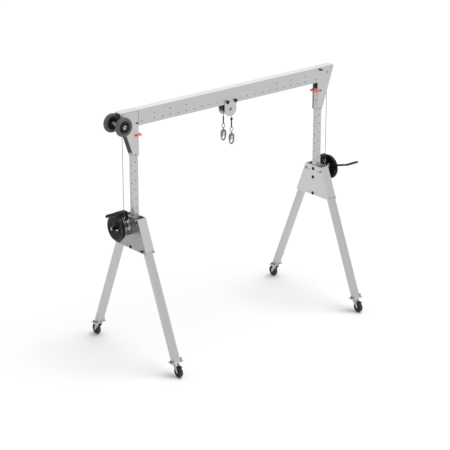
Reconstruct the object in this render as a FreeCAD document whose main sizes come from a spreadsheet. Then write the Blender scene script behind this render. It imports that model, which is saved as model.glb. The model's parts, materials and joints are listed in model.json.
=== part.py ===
import FreeCAD, Part
import math
import os
import re
import Sketcher

# A portable aluminium gantry crane. Two masts hang from a hollow beam and slide in two trapezoid
# heads. Each head stands on two splayed legs with castors, and carries a hand winch on its outer
# face. The winches' wire ropes run up to sheaves in the ends of the beam, through the beam to a
# pulley bracket near mid span, and down to two hooks.
#
# Frame: +X along the beam, +Z up, origin on the floor below mid span. Millimetres.

SIZES = {
    # the beam, the height of its underside and its rows of pin holes
    "beam_length": 2500, "beam_depth": 168, "beam_breadth": 96, "beam_wall": 5, "beam_base": 2562,
    "hole_pitch": 105, "hole_size": 13, "hole_low": 40, "hole_high": 101, "hole_margin": 160,
    "slot_breadth": 60, "slot_half": 300,
    # the masts: how far they stand off the end of the beam, and where they start and end
    "mast_gap": 5, "mast_wide": 70, "mast_deep": 56, "mast_wall": 4, "mast_start": 47,
    "mast_top": 118, "pin_hole": 13, "pin_pitch": 100, "pin_margin": 60, "pin_stagger": 30,
    # the end brackets: levels are from the underside of the beam, reaches from the mast's middle
    "cheek_sheet": 6, "cheek_reach": 190, "cheek_drop": 322, "cheek_toe": 30, "cheek_tail": 140,
    "cheek_heel": 40, "nose_rise": 128, "nose_back": 5, "web_sheet": 5, "web_start": 62,
    "spacer_size": 24, "spacer_low": 15, "spacer_high": 30, "seat_room": 1,
    # the rope's end sheaves
    "sheave_out": 105, "sheave_rise": 93, "sheave_pitch": 45, "sheave_rim": 52,
    "sheave_thick": 20, "axle_size": 16, "rope_size": 6, "rope_side": 14,
    # the transport wheels on the left end
    "cart_wheel": 200, "cart_tyre": 42, "cart_track": 200, "cart_axle": 20, "cart_out": 190,
    "cart_rise": 38, "cart_boss": 36, "cart_lug": 60, "cart_dish": 4, "cart_hub": 64, "cart_round": 8,
    "cart_nut": 6,
    # the pulley bracket, a little to one side of mid span
    "bracket_at": -30, "bracket_breadth": 160, "bracket_sheet": 6, "bracket_grip": 50,
    "bracket_drop": 60, "bracket_boss": 26, "bracket_nut": 5,
    # the heads: levels are from the legs' pivots
    "pivot_up": 1530, "pivot_out": 115, "pivot_size": 16, "head_above": 55, "head_below": 297,
    "head_sheet": 5, "head_room": 3, "wing_sheet": 3, "wing_room": 2, "sleeve_wall": 10,
    "wing_short": 27, "sleeve_start": 32, "slide_room": 0.4, "bush_hole": 34, "bush_high": 40,
    "bush_low": 20, "bush_lobe": 48,
    # the legs, a little outward of the masts, and the pins inside them that lock them open
    "leg_out": 15, "leg_wide": 80, "leg_deep": 52, "leg_wall": 4, "leg_angle": 22.3,
    "washer_size": 40, "lock_down": 296, "lock_in": 30, "collar_size": 22, "collar_long": 12,
    "handle_size": 12, "handle_long": 50, "handle_out": 16,
    # the feet and castors
    "plate_thick": 8, "plate_wide": 150, "plate_deep": 76, "stem_up": 230, "stem_room": 0.5,
    "tyre_size": 125, "tyre_wide": 32, "tyre_round": 8, "tyre_crown": 6, "trail": 45,
    "race_size": 52, "race_high": 7.7, "crown_room": 24, "crown_thick": 5, "fork_sheet": 4,
    "fork_room": 4, "fork_axle": 12, "fork_eye": 26, "fork_nut": 4,
    # the winches and cranks: reaches are from the mast's middle
    "winch_below": 31, "drum_size": 44, "drum_in": 38, "drum_out": 63, "flange_size": 130,
    "flange_thick": 6, "gear_size": 280, "gear_thick": 45, "mount_sheet": 6, "mount_half": 55,
    "mount_drop": 95, "mount_rise": 75, "shaft_size": 30, "strut_half": 45, "cowl_start": 85, "cowl_front": 16,
    "cowl_back": 60, "cowl_low": 50, "cowl_high": 155, "crank_arm": 250, "crank_bar": 24,
    "crank_thick": 8, "grip_wide": 50, "grip_thick": 26, "grip_long": 155, "grip_start": 6,
    "shank_size": 14, "hub_size": 40, "hub_long": 35,
    # the ends of the ropes and the hooks
    "line_drop": 82, "line_drop_low": 135, "ferrule_size": 13, "ferrule_long": 85,
    "ball_size": 30, "ball_rise": 9, "eye_size": 52, "eye_wire": 8, "neck_size": 14,
    "neck_long": 24, "neck_lap": 8, "neck_tip": 2, "hook_neck": 18, "hook_tall": 125,
    "hook_wide": 74, "hook_thick": 16, "hook_bar": 16, "hook_top": 24, "hook_slope": 22,
    "hook_belly": 70, "hook_corner": 12, "mouth_top": 58, "mouth_wide": 84, "mouth_floor": 20,
    # the latch levers under the beam
    "latch_drop": 100, "latch_reach": 76, "latch_bar": 7, "latch_tall": 26, "latch_tail": 12,
    # the least gap between things that move on each other, and the lap of things that are welded
    "running": 0.3, "weld": 0.01,
}

# What follows from the sizes. Each name stands for its formula wherever it is used below.
DERIVED = {
    "mast_out": "mast_gap + mast_wide / 2",
    "mast_at": "beam_length / 2 + mast_out",
    "beam_top": "beam_base + beam_depth",
    "mast_crown": "beam_base + mast_top",
    "mast_foot": "head_base + mast_start",
    "cheek_face": "beam_breadth / 2 - beam_wall",
    "cheek_gap": "2 * cheek_face - 2 * cheek_sheet",
    "cheek_foot": "beam_base - cheek_drop",
    "cheek_nose": "beam_base + nose_rise",
    "cheek_top": "beam_top - beam_wall - seat_room",
    "cheek_floor": "beam_base + beam_wall + seat_room",
    "web_low": "cheek_foot + (mast_wide / 2 + seat_room + web_sheet - cheek_toe) / cheek_lean",
    "web_high": "beam_base - web_start",
    "cheek_lean": "(cheek_reach - nose_back - cheek_toe) / (nose_rise + cheek_drop)",
    "sheave_up": "beam_base + sheave_rise",
    "cart_up": "beam_base + cart_rise",
    "bracket_axle": "beam_base - bracket_drop",
    "bracket_top": "beam_base + bracket_grip",
    "latch_up": "beam_base - latch_drop",
    "rope_out": "sheave_out + sheave_pitch",
    "head_top": "pivot_up + head_above",
    "pin_up": "head_top - bush_high",
    "mast_middle": "(mast_crown + mast_foot) / 2",
    "head_base": "pivot_up - head_below",
    "sleeve_base": "head_base + sleeve_start",
    "head_inner": "leg_wide / 2 + head_room",
    "head_outer": "leg_out + leg_wide / 2 + head_room",
    "head_face": "head_outer + head_sheet",
    "head_middle": "leg_out / 2",
    "leg_at": "mast_at + leg_out",
    "wing_inner": "leg_deep / 2 + wing_room",
    "wing_outer": "leg_deep / 2 + wing_room + wing_sheet",
    "winch_up": "pivot_up - winch_below",
    "rope_to_axis": "(drum_size + rope_size) / 2",
    "drum_start": "rope_out - drum_in",
    "drum_end": "rope_out + drum_out",
    "hub_start": "drum_end + gear_thick + running",
    "hub_end": "hub_start + hub_long",
    "crown_top": "tyre_size + crown_room",
    "plate_under": "crown_top + race_high + running",
    "plate_up": "plate_under + plate_thick",
    "fork_half": "tyre_wide / 2 + fork_room",
    "leg_run": "(pivot_up - plate_up) / cos(leg_angle)",
    "foot_out": "pivot_out + (pivot_up - plate_up) * tan(leg_angle)",
}

doc = FreeCAD.newDocument("gantry_crane")
sheet = doc.addObject("Spreadsheet::Sheet", "sizes")
for row, (alias, number) in enumerate(SIZES.items(), start=1):
    sheet.set("A%d" % row, alias)
    sheet.set("B%d" % row, str(number))
    sheet.setAlias("B%d" % row, alias)
doc.recompute()

NAME = re.compile(r"[a-z][a-z_]*")
X_AXIS = FreeCAD.Vector(1, 0, 0)
Y_AXIS = FreeCAD.Vector(0, 1, 0)
Z_AXIS = FreeCAD.Vector(0, 0, 1)
nodes = []

# the object that value() measures formulas with
gauge = doc.addObject("Part::Vertex", "gauge")

# the notches from mid span where the beam has a second hole above the first
UPPER_NOTCHES = (6, 8, 10)
# which way each crank points, in degrees from +Y towards +Z
CRANK_ANGLE = {-1: 121, 1: 164}


# ---------------------------------------------------------------- binding sizes to the sheet

def formula(text):
    """The same formula with each size's name pointed at its cell and each derived name worked out."""
    def meaning(found):
        word = found.group(0)
        if word in DERIVED:
            return "(%s)" % formula(DERIVED[word])
        return "sizes." + word if word in SIZES else word

    return NAME.sub(meaning, str(text))


def bind(thing, path, text):
    """Tie one property of an object to a formula in sizes."""
    thing.setExpression(path, formula(text))


def value(text):
    """The present value of a formula in sizes, where a count or a curve needs a number."""
    bind(gauge, "X", text)
    gauge.recompute()
    return gauge.X.Value


def place(thing, x=0, y=0, z=0, axis=None, turn=None):
    """Put an object at a formula for each coordinate, turned about an axis by a formula's angle."""
    if axis is not None:
        thing.Placement = FreeCAD.Placement(FreeCAD.Vector(), FreeCAD.Rotation(axis, 1))
        bind(thing, "Placement.Rotation.Angle", turn)
    bind(thing, "Placement.Base.x", x)
    bind(thing, "Placement.Base.y", y)
    bind(thing, "Placement.Base.z", z)
    return thing


def node(thing, label):
    """Name a finished sub-part."""
    thing.Label = label
    nodes.append(thing)
    return thing


def half(text):
    return "(%s) / 2" % text


def negative(text):
    return "-(%s)" % text


def signed(side, text):
    """A distance outward from the middle, as a coordinate."""
    return "%d * (%s)" % (side, text)


# ---------------------------------------------------------------- primitives and booleans

def box(x0, x1, y0, y1, z0, z1):
    """A block between two formulas on each axis."""
    block = doc.addObject("Part::Box", "block")
    bind(block, "Length", "(%s) - (%s)" % (x1, x0))
    bind(block, "Width", "(%s) - (%s)" % (y1, y0))
    bind(block, "Height", "(%s) - (%s)" % (z1, z0))
    return place(block, x0, y0, z0)


def rod(across, long, x=0, y=0, z=0, along=Z_AXIS):
    """A round bar that starts at a point and runs along +X, +Y or +Z."""
    bar = doc.addObject("Part::Cylinder", "rod")
    bind(bar, "Radius", half(across))
    bind(bar, "Height", long)
    if along == X_AXIS:
        return place(bar, x, y, z, Y_AXIS, "90")
    if along == Y_AXIS:
        return place(bar, x, "(%s) + (%s)" % (y, long), z, X_AXIS, "90")
    return place(bar, x, y, z)


def outward_box(side, start, end, y0, y1, z0, z1):
    """A block between two distances outward from the mast's middle."""
    if side > 0:
        return box(start, end, y0, y1, z0, z1)
    return box(negative(end), negative(start), y0, y1, z0, z1)


def outward_rod(side, across, start, end, y="0", z="0"):
    """A round bar along X between two distances outward from the mast's middle."""
    low = start if side > 0 else negative(end)
    return rod(across, "(%s) - (%s)" % (end, start), low, y, z, X_AXIS)


def cross_rod(across, reach, x, z):
    """A round bar along Y that reaches equally to both sides."""
    return rod(across, "2 * (%s)" % reach, x, negative(reach), z, Y_AXIS)


def joined(*things):
    """One solid out of several that meet."""
    whole = doc.addObject("Part::MultiFuse", "joined")
    whole.Shapes = list(things)
    whole.Refine = True
    return whole


def less(whole, *tools):
    """A solid with others cut out of it."""
    cut = doc.addObject("Part::Cut", "less")
    cut.Base = whole
    cut.Tool = tools[0] if len(tools) == 1 else joined(*tools)
    return cut


def group(*things):
    """Like pieces that share a node."""
    pieces = doc.addObject("Part::Compound", "group")
    pieces.Links = list(things)
    return pieces


# ---------------------------------------------------------------- bodies with sketches

def new_body():
    return doc.addObject("PartDesign::Body", "body")


def sketch(body, plane, loops=(), circles=()):
    """A sketch on one of the body's own planes. Each corner and centre is a pair of formulas."""
    drawing = body.newObject("Sketcher::SketchObject", "sketch")
    support = [f for f in body.Origin.OriginFeatures if f.Role == plane][0]
    drawing.AttachmentSupport = [(support, "")]
    drawing.MapMode = "FlatFace"
    bound = []
    for corners in loops:
        first = drawing.GeometryCount
        count = len(corners)
        ring = [FreeCAD.Vector(math.cos(2 * math.pi * i / count), math.sin(2 * math.pi * i / count), 0)
                for i in range(count)]
        for i in range(count):
            drawing.addGeometry(Part.LineSegment(ring[i], ring[(i + 1) % count]), False)
        for i, (across, up) in enumerate(corners):
            after = first + (i + 1) % count
            drawing.addConstraint(Sketcher.Constraint("Coincident", first + i, 2, after, 1))
            for kind, start, text in (("DistanceX", ring[i].x, across), ("DistanceY", ring[i].y, up)):
                index = drawing.addConstraint(Sketcher.Constraint(kind, -1, 1, first + i, 1, start))
                bound.append((index, text))
    for across, up, diameter in circles:
        index = drawing.addGeometry(Part.Circle(FreeCAD.Vector(1, 1, 0), Z_AXIS, 1), False)
        for kind, text in (("DistanceX", across), ("DistanceY", up)):
            bound.append((drawing.addConstraint(Sketcher.Constraint(kind, -1, 1, index, 3, 1.0)), text))
        bound.append((drawing.addConstraint(Sketcher.Constraint("Radius", index, 1.0)), half(diameter)))
    for index, text in bound:
        bind(drawing, "Constraints[%d]" % index, text)
    return drawing


def pad(body, drawing, long):
    """Thicken a sketch equally to both sides of its plane."""
    feature = body.newObject("PartDesign::Pad", "pad")
    feature.Profile = drawing
    feature.SideType = "Symmetric"
    bind(feature, "Length", long)
    return feature


def pocket(body, drawing, long):
    """Cut a sketch equally to both sides of its plane."""
    feature = body.newObject("PartDesign::Pocket", "pocket")
    feature.Profile = drawing
    feature.SideType = "Symmetric"
    bind(feature, "Length", long)
    return feature


def spin(body, drawing):
    """Revolve a sketch about its own horizontal axis."""
    feature = body.newObject("PartDesign::Revolution", "revolution")
    feature.Profile = drawing
    feature.ReferenceAxis = (drawing, ["H_Axis"])
    feature.Angle = 360
    return feature


def rectangle(x0, x1, y0, y1):
    return [(x0, y0), (x1, y0), (x1, y1), (x0, y1)]


# ---------------------------------------------------------------- the beam, masts and end brackets

def beam():
    """A rectangular tube with rows of pin holes, and a slot below where the ropes come out."""
    body = new_body()
    outer = rectangle("-beam_breadth / 2", "beam_breadth / 2", "0", "beam_depth")
    inner = rectangle("-cheek_face", "cheek_face", "beam_wall", "beam_depth - beam_wall")
    pad(body, sketch(body, "YZ_Plane", [outer, inner]), "beam_length")
    last = int(value("(beam_length / 2 - hole_margin) / hole_pitch"))
    notches = range(-last, last + 1)
    holes = [("hole_pitch * %d" % i, "hole_low", "hole_size") for i in notches]
    holes += [("hole_pitch * %d" % i, "hole_high", "hole_size") for i in notches if abs(i) in UPPER_NOTCHES]
    pocket(body, sketch(body, "XZ_Plane", (), holes), "beam_breadth * 2")
    slot = rectangle("-slot_half", "slot_half", "-slot_breadth / 2", "slot_breadth / 2")
    pocket(body, sketch(body, "XY_Plane", [slot]), "beam_wall * 3")
    node(place(body, 0, 0, "beam_base"), "beam")


def mast(side, label):
    """A rectangular tube that slides in its head, drilled through along X and Y at every notch."""
    body = new_body()
    outer = rectangle("-mast_wide / 2", "mast_wide / 2", "-mast_deep / 2", "mast_deep / 2")
    inner = rectangle("-mast_wide / 2 + mast_wall", "mast_wide / 2 - mast_wall",
                      "-mast_deep / 2 + mast_wall", "mast_deep / 2 - mast_wall")
    pad(body, sketch(body, "XY_Plane", [outer, inner]), "mast_crown - mast_foot")
    # the notches count up from the upper pin bush of the head
    lowest = math.ceil(value("(mast_foot + pin_margin - pin_up) / pin_pitch"))
    highest = math.floor(value("(mast_crown - pin_margin - pin_up) / pin_pitch"))
    levels = ["pin_up - mast_middle + pin_pitch * %d" % i for i in range(lowest, highest + 1)]
    through = [("0", level, "pin_hole") for level in levels]
    crossing = [("0", level + " + pin_stagger", "pin_hole") for level in levels]
    pocket(body, sketch(body, "YZ_Plane", (), through), "mast_wide * 2")
    pocket(body, sketch(body, "XZ_Plane", (), crossing), "mast_deep * 2")
    node(place(body, signed(side, "mast_at"), 0, "mast_middle"), label)


def end_bracket(side, label):
    """Two cheeks inside the end of the beam, round the mast, with a web on their slanting edge."""
    cheeks = new_body()
    outline = [
        (signed(side, "-cheek_heel"), "cheek_foot"),
        (signed(side, "cheek_toe"), "cheek_foot"),
        (signed(side, "cheek_reach - nose_back"), "cheek_nose"),
        (signed(side, "cheek_reach"), "cheek_top"),
        (signed(side, "-cheek_tail"), "cheek_top"),
        (signed(side, "-cheek_tail"), "cheek_floor"),
        (signed(side, "-cheek_heel"), "cheek_floor"),
    ]
    pad(cheeks, sketch(cheeks, "XZ_Plane", [outline]), "2 * cheek_face")
    hollow = rectangle(signed(side, "-2 * cheek_tail"), signed(side, "2 * cheek_reach"),
                       "cheek_foot - cheek_toe", "cheek_top + cheek_toe")
    pocket(cheeks, sketch(cheeks, "XZ_Plane", [hollow]), "cheek_gap")

    edge_low = "cheek_toe + (web_low - cheek_foot) * cheek_lean"
    edge_high = "cheek_toe + (web_high - cheek_foot) * cheek_lean"
    strip = [
        (signed(side, edge_low), "web_low"),
        (signed(side, edge_high), "web_high"),
        (signed(side, edge_high + " - web_sheet"), "web_high"),
        (signed(side, edge_low + " - web_sheet"), "web_low"),
    ]
    web = new_body()
    pad(web, sketch(web, "XZ_Plane", [strip]), "cheek_gap + 2 * weld")

    # the cap closes the top between the end of the beam and the nose of the cheeks
    cap = outward_box(side, "-mast_out", "cheek_reach", "-beam_breadth / 2", "beam_breadth / 2",
                      "cheek_top", "beam_top")
    parts = [cheeks, web, cap]
    # spacers hold the mast in the middle between the cheeks
    for level in ("cheek_foot + spacer_low", "latch_up", "beam_base + spacer_high"):
        for low in ("mast_deep / 2", "-cheek_gap / 2"):
            parts.append(rod("spacer_size", "(cheek_gap - mast_deep) / 2", "0", low, level, Y_AXIS))
    # the axle that the rope's sheave turns on
    parts.append(cross_rod("axle_size", "cheek_face", signed(side, "sheave_out"), "sheave_up"))
    if side < 0:
        parts += cart_axle(signed(side, "cart_out"))
    node(place(joined(*parts), signed(side, "mast_at"), 0, 0), label)


def cart_axle(x):
    """The axle of the transport wheels, on a lug and a long boss at each cheek."""
    boss = "cart_track / 2 - cart_tyre / 2 - running"
    parts = [cross_rod("cart_axle", "cart_track / 2 + cart_tyre / 2 + cart_nut", x, "cart_up")]
    for low in ("cheek_face - cheek_sheet", negative(boss)):
        parts.append(rod("cart_boss", "(%s) - cheek_face + cheek_sheet" % boss, x, low, "cart_up", Y_AXIS))
    for low in ("cheek_face - cheek_sheet", "-cheek_face"):
        parts.append(box(x, x + " + cart_lug", low, low + " + cheek_sheet",
                         "cart_up - cart_boss / 2", "cart_up + cart_boss / 2"))
    return parts


def sheave(x, y, z):
    """A grooved wheel for the rope, turned about Y."""
    body = new_body()
    bore = "axle_size / 2 + running"
    groove = "rope_size / 2 + running"
    floor = "sheave_pitch - rope_size / 2 - running"
    rim = [
        ("-sheave_thick / 2", bore),
        ("sheave_thick / 2", bore),
        ("sheave_thick / 2", "sheave_rim"),
        (groove, "sheave_rim"),
        (groove, floor),
        (negative(groove), floor),
        (negative(groove), "sheave_rim"),
        ("-sheave_thick / 2", "sheave_rim"),
    ]
    spin(body, sketch(body, "XY_Plane", [rim]))
    return place(body, x, y, z, Z_AXIS, "90")


def rope_sheaves():
    """The two sheaves in the ends of the beam and the pair in the pulley bracket."""
    pieces = []
    for side in (-1, 1):
        y = signed(side, "rope_side")
        pieces.append(sheave(signed(side, "mast_at + sheave_out"), y, "sheave_up"))
        pieces.append(sheave("bracket_at", y, "bracket_axle"))
    node(group(*pieces), "rope_sheaves")


def pulley_bracket():
    """Two cheeks with round lower ends, pinned to the sides of the beam, and the axle between."""
    nut = "beam_breadth / 2 + bracket_sheet + bracket_nut"
    parts = [cross_rod("axle_size", nut, "0", "bracket_axle")]
    for low in ("beam_breadth / 2", "-beam_breadth / 2 - bracket_sheet"):
        parts.append(box("-bracket_breadth / 2", "bracket_breadth / 2", low, low + " + bracket_sheet",
                         "bracket_axle", "bracket_top"))
        parts.append(rod("bracket_breadth", "bracket_sheet", "0", low, "bracket_axle", Y_AXIS))
    # bosses fill the axle out from the sheaves to the cheeks
    inner = "rope_side + sheave_thick / 2 + running"
    for low in (inner, "-beam_breadth / 2"):
        long = "beam_breadth / 2 - (%s)" % inner
        parts.append(rod("bracket_boss", long, "0", low, "bracket_axle", Y_AXIS))
    node(place(joined(*parts), "bracket_at", 0, 0), "pulley_bracket")


def cart_wheel(flank, label):
    """A transport wheel: a fat tyre on a dished hub, turned about Y."""
    body = new_body()
    profile = [
        ("-cart_tyre / 2 + cart_dish", "cart_axle / 2 + running"),
        ("cart_tyre / 2 - cart_dish", "cart_axle / 2 + running"),
        ("cart_tyre / 2 - cart_dish", "cart_hub"),
        ("cart_tyre / 2", "cart_hub + cart_dish"),
        ("cart_tyre / 2", "cart_wheel / 2 - cart_round"),
        ("cart_tyre / 2 - cart_round", "cart_wheel / 2"),
        ("-cart_tyre / 2 + cart_round", "cart_wheel / 2"),
        ("-cart_tyre / 2", "cart_wheel / 2 - cart_round"),
        ("-cart_tyre / 2", "cart_hub + cart_dish"),
        ("-cart_tyre / 2 + cart_dish", "cart_hub"),
    ]
    spin(body, sketch(body, "XY_Plane", [profile]))
    y = signed(flank, "cart_track / 2")
    node(place(body, "-mast_at - cart_out", y, "cart_up", Z_AXIS, "90"), label)


def latch_lever(side, label):
    """A U-shaped lever round the inner face of the mast, pivoted on the outside of both cheeks."""
    inner = "cheek_face + running"
    outer = "cheek_face + running + latch_bar"
    low = "-latch_tall / 2"
    high = "latch_tall / 2"
    near = outward_box(side, "-latch_reach", "latch_tail", negative(outer), negative(inner), low, high)
    far = outward_box(side, "-latch_reach", "latch_tail", inner, outer, low, high)
    bar = outward_box(side, "-latch_reach", "-latch_reach + 2 * latch_bar", negative(outer), outer,
                      low, high)
    node(place(joined(near, far, bar), signed(side, "mast_at"), 0, "latch_up"), label)


# ---------------------------------------------------------------- heads, legs, feet and castors

def wing(level, offset):
    """How far out a line beside the leg's axis is at some height."""
    return "pivot_out + (pivot_up - (%s)) * tan(leg_angle) + (%s) / cos(leg_angle)" % (level, offset)


def head(side, label):
    """A boxed trapezoid: two face plates, a wing down each slanting side and a sleeve for the mast."""
    profile = [
        (wing("head_base", "wing_outer"), "head_base"),
        (wing("head_top", "wing_outer"), "head_top"),
        (negative(wing("head_top", "wing_outer")), "head_top"),
        (negative(wing("head_base", "wing_outer")), "head_base"),
    ]
    room = "head_inner + head_outer"
    faces = new_body()
    pad(faces, sketch(faces, "YZ_Plane", [profile]), room + " + 2 * head_sheet")
    far = wing("head_base", "wing_outer * 2")
    hollow = rectangle(negative(far), far, "head_base - head_sheet", "head_top + head_sheet")
    pocket(faces, sketch(faces, "YZ_Plane", [hollow]), room)
    place(faces, signed(side, "head_middle"), 0, 0)
    parts = [faces]
    wing_base = "head_base + wing_short"
    for flank in (-1, 1):
        strip = [
            (signed(flank, wing(wing_base, "wing_outer")), wing_base),
            (signed(flank, wing("head_top", "wing_outer")), "head_top"),
            (signed(flank, wing("head_top", "wing_inner")), "head_top"),
            (signed(flank, wing(wing_base, "wing_inner")), wing_base),
        ]
        flange = new_body()
        pad(flange, sketch(flange, "YZ_Plane", [strip]), room + " + 2 * weld")
        parts.append(place(flange, signed(side, "head_middle"), 0, 0))
        y = signed(flank, "pivot_out")
        parts.append(outward_rod(side, "pivot_size", "-head_inner - weld", "head_outer + weld",
                                 y, "pivot_up"))
        # a thick washer takes up the room between the inner face and the leg
        parts.append(outward_rod(side, "washer_size", "-head_inner - weld",
                                 "leg_out - leg_wide / 2 - running", y, "pivot_up"))
    # lobes carry the lowest bush below the edge of each face
    low_bush = "head_base + bush_low"
    parts.append(outward_rod(side, "bush_lobe", "head_outer", "head_face", "0", low_bush))
    parts.append(outward_rod(side, "bush_lobe", "-head_inner - head_sheet", "-head_inner", "0", low_bush))
    around_y = "mast_deep / 2 + slide_room + sleeve_wall"
    block = outward_box(side, "-head_inner - weld", "head_outer + weld", negative(around_y), around_y,
                        "sleeve_base", "head_top")
    bore_x = "mast_wide / 2 + slide_room"
    bore_y = "mast_deep / 2 + slide_room"
    bore = box(negative(bore_x), bore_x, negative(bore_y), bore_y, "sleeve_base - head_sheet",
               "head_top + head_sheet")
    parts.append(less(block, bore))
    bushes = [outward_rod(side, "bush_hole", "-head_face * 2", "head_face * 2", "0", level)
              for level in ("pin_up", "pin_up - pin_pitch", low_bush)]
    node(place(less(joined(*parts), *bushes), signed(side, "mast_at"), 0, 0), label)


def lean_axis(flank):
    """Legs on +Y lean by a turn about +X, legs on -Y by the same turn about -X."""
    return X_AXIS if flank > 0 else FreeCAD.Vector(-1, 0, 0)


def leg(side, flank, label):
    """A rectangular tube from the pivot in its head down to the plate of its foot."""
    body = new_body()
    mitre = "%d * leg_deep / 2 * tan(leg_angle)" % flank
    outline = [
        ("-leg_deep / 2", "0"),
        ("-leg_deep / 2", "-leg_run + " + mitre),
        ("leg_deep / 2", "-leg_run - " + mitre),
        ("leg_deep / 2", "0"),
    ]
    pad(body, sketch(body, "YZ_Plane", [outline]), "leg_wide")
    pad(body, sketch(body, "YZ_Plane", (), [("0", "0", "leg_deep")]), "leg_wide")
    hollow = rectangle("-leg_deep / 2 + leg_wall", "leg_deep / 2 - leg_wall", "-leg_run - leg_deep",
                       "-leg_deep / 2")
    pocket(body, sketch(body, "YZ_Plane", [hollow]), "leg_wide - 2 * leg_wall")
    hole = ("0", "0", "pivot_size + 2 * running")
    pocket(body, sketch(body, "YZ_Plane", (), [hole]), "leg_wide * 2")
    place(body, signed(side, "leg_at"), signed(flank, "pivot_out"), "pivot_up",
          lean_axis(flank), "leg_angle")
    node(body, label)


def foot(side, flank, label):
    """The plate under a leg and the stem that plugs into it."""
    plate = box("-plate_wide / 2", "plate_wide / 2", "-plate_deep / 2", "plate_deep / 2",
                "-plate_thick", "0")
    inside = "leg_deep / 2 - leg_wall - stem_room"
    mitre = "%d * (%s) * tan(leg_angle)" % (flank, inside)
    outline = [
        (negative(inside), "stem_up"),
        (negative(inside), mitre),
        (inside, negative(mitre)),
        (inside, "stem_up"),
    ]
    stem = new_body()
    pad(stem, sketch(stem, "YZ_Plane", [outline]), "leg_wide - 2 * leg_wall - 2 * stem_room")
    place(stem, 0, 0, 0, lean_axis(flank), "leg_angle")
    whole = joined(plate, stem)
    node(place(whole, signed(side, "leg_at"), signed(flank, "foot_out"), "plate_up"), label)


def castor_fork(side, flank, label):
    """The swivelling fork of a castor, with its race on top and its axle across the foot."""
    axle_y = signed(flank, "trail")
    outer = "fork_half + fork_sheet"
    race = rod("race_size", "race_high", "0", "0", "crown_top")
    crown = box(negative(outer), outer, "-race_size / 2", "race_size / 2",
                "crown_top - crown_thick", "crown_top")
    parts = [race, crown]
    outline = [
        ("-race_size / 2", "crown_top - crown_thick"),
        ("race_size / 2", "crown_top - crown_thick"),
        (axle_y + " + fork_eye / 2", "tyre_size / 2"),
        (axle_y + " - fork_eye / 2", "tyre_size / 2"),
    ]
    for hand in (-1, 1):
        arm = new_body()
        pad(arm, sketch(arm, "YZ_Plane", [outline]), "fork_sheet")
        parts.append(place(arm, signed(hand, "fork_half + fork_sheet / 2"), 0, 0))
        parts.append(outward_rod(hand, "fork_eye", "fork_half", outer, axle_y, "tyre_size / 2"))
    nut = outer + " + fork_nut"
    parts.append(outward_rod(1, "fork_axle", negative(nut), nut, axle_y, "tyre_size / 2"))
    node(place(joined(*parts), signed(side, "leg_at"), signed(flank, "foot_out"), 0), label)


def castor_wheel(side, flank, label):
    """A castor's wheel, turned about X, with a rounded tread."""
    body = new_body()
    profile = [
        ("-tyre_wide / 2", "fork_axle / 2 + running"),
        ("tyre_wide / 2", "fork_axle / 2 + running"),
        ("tyre_wide / 2", "tyre_size / 2 - tyre_round"),
        ("tyre_wide / 2 - tyre_crown", "tyre_size / 2"),
        ("-tyre_wide / 2 + tyre_crown", "tyre_size / 2"),
        ("-tyre_wide / 2", "tyre_size / 2 - tyre_round"),
    ]
    spin(body, sketch(body, "XY_Plane", [profile]))
    node(place(body, signed(side, "leg_at"), signed(flank, "foot_out + trail"), "tyre_size / 2"), label)


def lock_pins(side, label):
    """The handles of the pins that lock the legs open, on the outer face of the head."""
    level = "pivot_up - lock_down * cos(leg_angle)"
    grip = "head_face + handle_out"
    pieces = []
    for flank in (-1, 1):
        y = signed(flank, "pivot_out + lock_down * sin(leg_angle) - lock_in")
        collar = outward_rod(side, "collar_size", "head_face", "head_face + collar_long", y, level)
        neck = outward_rod(side, "handle_size", "head_face", grip, y, level)
        bar = rod("handle_size", "handle_long", signed(side, grip), y + " - handle_long / 2", level, Y_AXIS)
        pieces.append(joined(collar, neck, bar))
    node(place(group(*pieces), signed(side, "mast_at"), 0, 0), label)


# ---------------------------------------------------------------- winches, ropes and hooks

def at_winch(side, thing):
    """Put something on the axis of a winch, whose drum lies on the +Y side of its rope."""
    return place(thing, signed(side, "mast_at"), signed(side, "rope_side") + " + rope_to_axis", "winch_up")


def winch(side, label):
    """A hand winch: mounting plate, drum, cowl over the drum and round gear housing, its axis along X."""
    parts = [
        outward_box(side, "head_face", "head_face + mount_sheet", "-mount_half", "mount_half",
                    "-mount_drop", "mount_rise"),
        outward_rod(side, "shaft_size", "head_face", "drum_end + flange_thick"),
        outward_rod(side, "drum_size", "drum_start", "drum_end + weld"),
        outward_rod(side, "flange_size", "drum_start - flange_thick", "drum_start"),
        outward_rod(side, "gear_size", "drum_end", "drum_end + gear_thick"),
        outward_box(side, "head_face", "drum_end + flange_thick", "-strut_half", "strut_half",
                    "-mount_drop", "-mount_drop + mount_sheet"),
        outward_box(side, "cowl_start", "drum_end + weld", "-cowl_front", "cowl_back",
                    "cowl_low", "cowl_high"),
    ]
    node(at_winch(side, joined(*parts)), label)


def crank(side, angle, label):
    """A crank on the outer face of the winch. Its arm is drawn along +Y and turned to its angle."""
    bar_start = "hub_end - crank_thick"
    grip_start = "hub_end + grip_start"
    grip_end = "hub_end + grip_start + grip_long"
    bend = "(grip_wide - grip_thick) / 2"
    parts = [
        outward_rod(side, "hub_size", "hub_start", "hub_end"),
        outward_box(side, bar_start, "hub_end", "0", "crank_arm", "-crank_bar / 2", "crank_bar / 2"),
        outward_rod(side, "crank_bar", bar_start, "hub_end", "crank_arm"),
        outward_rod(side, "shank_size", bar_start, grip_end, "crank_arm"),
        outward_rod(side, "grip_thick", grip_start, grip_end, "crank_arm - " + bend),
        outward_rod(side, "grip_thick", grip_start, grip_end, "crank_arm + " + bend),
        outward_box(side, grip_start, grip_end, "crank_arm - " + bend, "crank_arm + " + bend,
                    "-grip_thick / 2", "grip_thick / 2"),
    ]
    whole = joined(*parts)
    whole.Placement = FreeCAD.Placement(FreeCAD.Vector(), FreeCAD.Rotation(X_AXIS, angle))
    node(at_winch(side, whole), label)


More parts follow.
